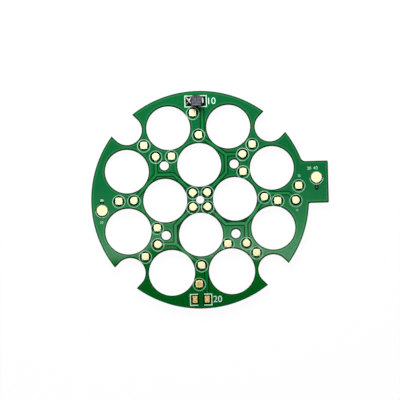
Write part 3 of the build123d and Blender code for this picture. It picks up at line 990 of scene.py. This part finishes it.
# %% Turns of wire
WIRE_TURNS = 5
WIRE_SIDES = 12
SPIN_STEPS = 48
coil_low, coil_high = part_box("inductor_winding")
coil_middle = (coil_low + coil_high) / 2
wire_pitch = (coil_high.z - coil_low.z) / WIRE_TURNS
wire_radius = wire_pitch / 2
turn_radius = half_width("inductor_winding") - wire_radius
start = (coil_middle.x + turn_radius, coil_middle.y, coil_low.z + wire_radius)
bpy.ops.mesh.primitive_circle_add(
    vertices=WIRE_SIDES, radius=wire_radius, location=start, rotation=(math.pi / 2, 0, 0))
start_edit()
axis_foot = (coil_middle.x, coil_middle.y, 0)
bpy.ops.mesh.spin(steps=SPIN_STEPS, angle=math.tau, center=axis_foot, axis=(0, 0, 1))
bpy.ops.mesh.select_all(action="SELECT")
bpy.ops.mesh.remove_doubles(threshold=WELD)
end_edit()
bpy.ops.object.shade_smooth_by_angle(angle=SMOOTH_UNDER)
turns = [settle(bpy.context.object, "turn")]
for count in range(1, WIRE_TURNS):
    twin = twin_of(turns[0])
    twin.location.z = wire_pitch * count
    turns.append(settle(twin, f"turn_{count}"))
coil = join(turns, "inductor_coil")
coil.data.materials.clear()
coil.data.materials.append(wire)
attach(coil, "root")
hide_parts("inductor_winding")
print("turns", WIRE_TURNS, "faces", len(coil.data.polygons))

# %% [markdown]
# ## Printed rings
# White ink marks each pad with a ring and each land with an arc, a little low. They could be painted
# in the mask's colour, but thin bodies keep a sharp edge from anywhere. A ring is a disc, inset by
# the stroke, without its middle.

# %% Rings round the pads
INK_STROKE = 0.16 * MM
INK_DROP = 0.13 * MM
INK_TOP = copper_high.z + 0.012 * MM
INK_THICKNESS = INK_TOP - laminate_high.z
RING_SIDES = 48
RING_RADIUS = 1.5 * MM
LAND_RING_RADIUS = 1.56 * MM


def thicken():
    """Pulls the flat print up to the ink's top."""
    bpy.ops.mesh.select_all(action="SELECT")
    raise_faces(INK_THICKNESS)
    end_edit()


def ring(name, radius):
    location = (0, 0, laminate_high.z)
    outer = radius + INK_STROKE / 2
    bpy.ops.mesh.primitive_circle_add(
        vertices=RING_SIDES, radius=outer, fill_type="NGON", location=location)
    start_edit()
    bpy.ops.mesh.inset(thickness=INK_STROKE)
    bpy.ops.mesh.delete(type="FACE")
    thicken()
    return settle(bpy.context.object, name)


pad_ring = ring("pad_ring", RING_RADIUS)
land_arc = ring("land_arc", LAND_RING_RADIUS)
start_edit()
bpy.ops.mesh.bisect(plane_co=(0, 0, 0), plane_no=(0, 1, 0), clear_outer=True, use_fill=True)
bpy.ops.object.mode_set(mode="OBJECT")
drop = Vector((0, -INK_DROP, 0))
rings = []
for pattern, kind, owners in ((pad_ring, "ring", pad_middles), (land_arc, "arc", land_middles)):
    for name, middle in owners.items():
        rings.append(copy_to(pattern, f"{name}_{kind}", middle * MM + drop))
    bpy.data.objects.remove(pattern)
print("rings", len(rings))

# %% [markdown]
# ## Printed brackets
# Square brackets mark the place of each chip. Six bars would do, but their joins would show. Here a
# plane is inset by the stroke, the inner face goes, and two bisects part the arms from the stretch
# between them, which goes too.

# %% Brackets round the chip places
BRACKET_LENGTH = 5.35 * MM
BRACKET_HEIGHT = 2.84 * MM
BRACKET_ARM = 1.95 * MM
BRACKET_STROKE = 0.23 * MM
BRACKET_DROPS = {"inductor": 0.05 * MM, "resistor": 0.1 * MM}
chip_middles = {}
for chip in chips:
    both = middle_of(f"{chip}_signal_pad") + middle_of(f"{chip}_ground_pad")
    chip_middles[chip] = both / 2


def brackets(chip):
    place = chip_middles[chip] * MM
    location = (place.x, place.y - BRACKET_DROPS[chip], laminate_high.z)
    bpy.ops.mesh.primitive_plane_add(size=1, location=location)
    piece = bpy.context.object
    piece.scale = (BRACKET_LENGTH, BRACKET_HEIGHT, 1)
    settle(piece, f"{chip}_brackets")
    half_gap = BRACKET_LENGTH / 2 - BRACKET_ARM
    start_edit()
    bpy.ops.mesh.inset(thickness=BRACKET_STROKE)
    bpy.ops.mesh.delete(type="FACE")
    for side in (-1, 1):
        bpy.ops.mesh.select_all(action="SELECT")
        cut = (place.x + side * half_gap, place.y, laminate_high.z)
        bpy.ops.mesh.bisect(plane_co=cut, plane_no=(1, 0, 0))
    bpy.ops.object.mode_set(mode="OBJECT")
    for face in piece.data.polygons:
        face.select = abs(face.center.x - place.x) < half_gap
    bpy.ops.object.mode_set(mode="EDIT")
    bpy.ops.mesh.select_mode(type="FACE")
    bpy.ops.mesh.delete(type="FACE")
    thicken()
    return piece


bracket_pieces = [brackets(chip) for chip in chips]
print("brackets", [piece.name for piece in bracket_pieces])

# %% [markdown]
# ## Printed figures
# Small figures tell the places apart. Text objects give clean outlines that need no drawing, and
# each one turns into a mesh so that it can join the print.

# %% Numbers beside the chips, the lands and the input pads
FIGURE_SHARE = 0.73  # height of a figure as a share of the text's size
FIGURES = (  # name, figures, owner, millimetres right of and above its middle, height
    ("inductor_number", "10", "inductor", 2.55, -0.8, 1.66),
    ("resistor_number", "20", "resistor", 2.85, -0.78, 1.62),
    ("mark_30", "30", "tab_land", -2.2, 1.85, 0.75),
    ("mark_40", "40", "tab_land", -0.72, 1.87, 0.8),
    ("mark_22", "22", "input_ground_pad", -0.2, 2.05, 0.5),
    ("mark_33", "33", "input_signal_pad", -0.1, -2.6, 0.45),
    ("mark_50", "50", "left_land", -0.6, -3.08, 0.6),
)
middles = {**pad_middles, **land_middles, **chip_middles}


def number(name, text, owner, right, up, height):
    """Plain figures as a thin solid on the mask."""
    x, y, z = middles[owner]
    place = ((x + right) * MM, (y + up) * MM, (laminate_high.z + INK_TOP) / 2)
    bpy.ops.object.text_add(location=place)
    piece = bpy.context.object
    piece.data.body = text
    piece.data.size = height * MM / FIGURE_SHARE
    piece.data.extrude = INK_THICKNESS / 2
    piece.data.resolution_u = 4
    bpy.ops.object.convert(target="MESH")
    return settle(bpy.context.object, name)


numbers = [number(*figure) for figure in FIGURES]
print("numbers", [piece.name for piece in numbers])

# %% [markdown]
# ## Trim the print
# Ink can't lie over a hole. The rings could be trimmed one by one, but a copy of the laminate that is
# stretched upwards cuts them all like a die: a boolean keeps what lies inside it. The ink is thin and
# uneven, so green shows through it in places.

# %% Cut the print at the holes and set its finish
DIE_WELD = 0.00001 * MM
DIE_STRETCH = 1.5
die = twin_of(nodes["laminate"])
select_only(die)
start_edit()
bpy.ops.mesh.remove_doubles(threshold=DIE_WELD)
bpy.ops.transform.resize(value=(1, 1, DIE_STRETCH), center_override=(0, 0, 0))
bpy.ops.object.mode_set(mode="OBJECT")
for piece in rings + bracket_pieces:
    cut = piece.modifiers.new("cut", "BOOLEAN")
    cut.operation = "INTERSECT"
    cut.solver = "EXACT"
    cut.object = die
    select_only(piece)
    bpy.ops.object.modifier_apply(modifier="cut")
bpy.data.objects.remove(die)


def ink(name, thin, thick):
    """White ink, through which the green shows where it is thin."""
    finish = Finish(name, Roughness=0.6)
    cover = ((finish.noise(finish.place(), 0.8, 4.0) - 0.5) * 2.2 + 0.5).clamp()
    finish.look(Base_Color=finish.mix(cover, thin, thick))
    return finish.material


ring_ink = ink("ring_ink", (0.08, 0.3, 0.16), (0.38, 0.6, 0.45))
mark_ink = ink("mark_ink", (0.3, 0.56, 0.42), (0.58, 0.82, 0.68))
for pieces, material in ((rings, ring_ink), (bracket_pieces + numbers, mark_ink)):
    for piece in pieces:
        piece.data.materials.clear()
        piece.data.materials.append(material)
print_marks = join(rings + bracket_pieces + numbers, "print")
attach(print_marks, "root")
print("print faces", len(print_marks.data.polygons))

# %% [markdown]
# ## Floor
# The board lies on white, which takes only its soft shadow. A plain white plane would turn grey in
# dim light, so it mostly glows where it is looked at, and is plain white where it lights the board.
# A Mix Shader joins the two.

# %% Floor
FLOOR_SIZE = 2.0
FLOOR_DROP = 0.02 * MM  # keeps the floor just clear of the board's underside
FLOOR_GLOW = 0.955
FLOOR_WHITE = (0.92, 0.92, 0.92)
bpy.ops.mesh.primitive_plane_add(size=FLOOR_SIZE, location=(0, 0, -FLOOR_DROP))
floor = bpy.context.object
floor.name = "floor"
floor_finish = Finish("floor", Base_Color=FLOOR_WHITE, Roughness=1.0, Specular_IOR_Level=0.0)
lit = Value(floor_finish, floor_finish.shader.outputs["BSDF"])
glow = floor_finish.node("ShaderNodeEmission", {}, {"Color": (1.0, 1.0, 1.0)})
share = floor_finish.backdrop_rays() * FLOOR_GLOW
blend = floor_finish.node("ShaderNodeMixShader", {}, {0: share, 1: lit, 2: glow})
floor_finish.put(floor_finish.output, "Surface", blend)
floor.data.materials.append(floor_finish.material)
floor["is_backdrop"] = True
print("floor at", floor.location.z)

# %% [markdown]
# ## Sheen card
# A lacquered board shows whatever hangs above it. A lamp there would light everything, but a glowing
# card that is seen only in reflections lays its sheen on the lacquer alone. The camera is tilted, so
# a place on the board mirrors one that lies further up on the card. The card is dark below the line
# of the mask, and fades out up the board.

# %% Sheen card
CARD_SIZE = 0.5
CARD_HEIGHT = 200 * MM
TILT = math.radians(3.4)  # of the camera
SHEEN_END = -16.5  # millimetres up the board, where the long fade starts
SHEEN_DEPTH = 20
SHEEN_LIGHT = 1.2
NEAR_MIDDLE = -9.1  # below this the near light joins in
NEAR_LIGHT = 0.92
CARD_LIGHT = 0.04  # what is left of the light beyond the fade
bpy.ops.mesh.primitive_plane_add(size=CARD_SIZE, location=(0, 0, CARD_HEIGHT))
card = bpy.context.object
card.name = "card"
card.rotation_euler = (math.pi, 0, 0)
bpy.ops.object.transform_apply(location=True, rotation=True, scale=True)
card_finish = Finish("card")
card_x, card_y, card_z = card_finish.place().xyz()
forward = CARD_HEIGHT * math.tan(TILT) / MM
edge_y = SHEEN_END + forward
front = (card_y - forward - line_height(card_x)).above(0, 1.0)
fade = 1 - ((card_y - edge_y) / SHEEN_DEPTH).clamp()
near = (card_y - forward).below(NEAR_MIDDLE, 3.5)
light = front * (fade * SHEEN_LIGHT + near * NEAR_LIGHT + CARD_LIGHT)
card_glow = card_finish.node("ShaderNodeEmission", {}, {"Strength": light})
card_finish.put(card_finish.output, "Surface", card_glow)
card.data.materials.append(card_finish.material)
card.visible_camera = False
card.visible_diffuse = False
card.visible_shadow = False
card.visible_transmission = False
card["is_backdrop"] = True
print("card edge at", round(edge_y, 1), "mm")

# %% [markdown]
# ## Lamp and world
# One broad lamp stands behind the board, where a window would be. It is left out of reflections,
# or its square would show in the lacquer. The world fills the shadows. It lights dimly but looks
# white, which keeps the backdrop as white as the floor.

# %% Lamp and world
KEY_SIZE = 0.08
KEY_POWER = 0.42
KEY_PLACE = (-0.02, 0.115, 0.105)
ROOM_STRENGTH = 0.3
key = bpy.data.lights.new("key_lamp", "AREA")
key.size = KEY_SIZE
key.energy = KEY_POWER
key_lamp = bpy.data.objects.new("key_lamp", key)
key_lamp.visible_glossy = False
key_lamp.location = KEY_PLACE
key_lamp.rotation_euler = (-key_lamp.location).to_track_quat("-Z", "Y").to_euler()
bpy.context.collection.objects.link(key_lamp)
world = bpy.data.worlds.new("studio")
world.use_nodes = True
studio = Nodes(world.node_tree)
background = world.node_tree.nodes["Background"]
studio.put(background, "Color", (1.0, 1.0, 1.0))
studio.put(background, "Strength", studio.backdrop_rays() * (1 - ROOM_STRENGTH) + ROOM_STRENGTH)
bpy.context.scene.world = world
bpy.context.scene.view_settings.view_transform = "Standard"
print("key lamp", key.energy, "W")

# %% [markdown]
# ## Camera
# A long lens high above shows hardly any perspective, so an orthographic camera fits. It leans a
# little towards the lower rim and is turned a little, because nobody holds a camera quite square. Its
# matrix is built from those two turns, which is surer than three angles.

# %% Camera
VIEW_WIDTH = 95.5 * MM
TURN = math.radians(1.517)
AIM_X = -0.0310375 * MM
AIM_Y = -0.1074375 * MM
CAMERA_DISTANCE = 0.5
lens = bpy.data.cameras.new("camera")
lens.type = "ORTHO"
lens.ortho_scale = VIEW_WIDTH
camera = bpy.data.objects.new("camera", lens)
bpy.context.collection.objects.link(camera)
toward = Vector((0, -math.sin(TILT), math.cos(TILT)))
aim = Vector((AIM_X, AIM_Y, laminate_high.z))
tilted = Matrix.Rotation(TILT, 4, "X") @ Matrix.Rotation(-TURN, 4, "Z")
camera.matrix_world = Matrix.Translation(aim + toward * CAMERA_DISTANCE) @ tilted
bpy.context.scene.camera = camera
print("camera at", [round(part, 3) for part in camera.location])

# %% [markdown]
# ## Sizes and end
# Looks must not make the board larger. Measuring by eye would miss a tenth of a millimetre, so the
# box of everything now in the scene is measured.

# %% Sizes and end
low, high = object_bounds()
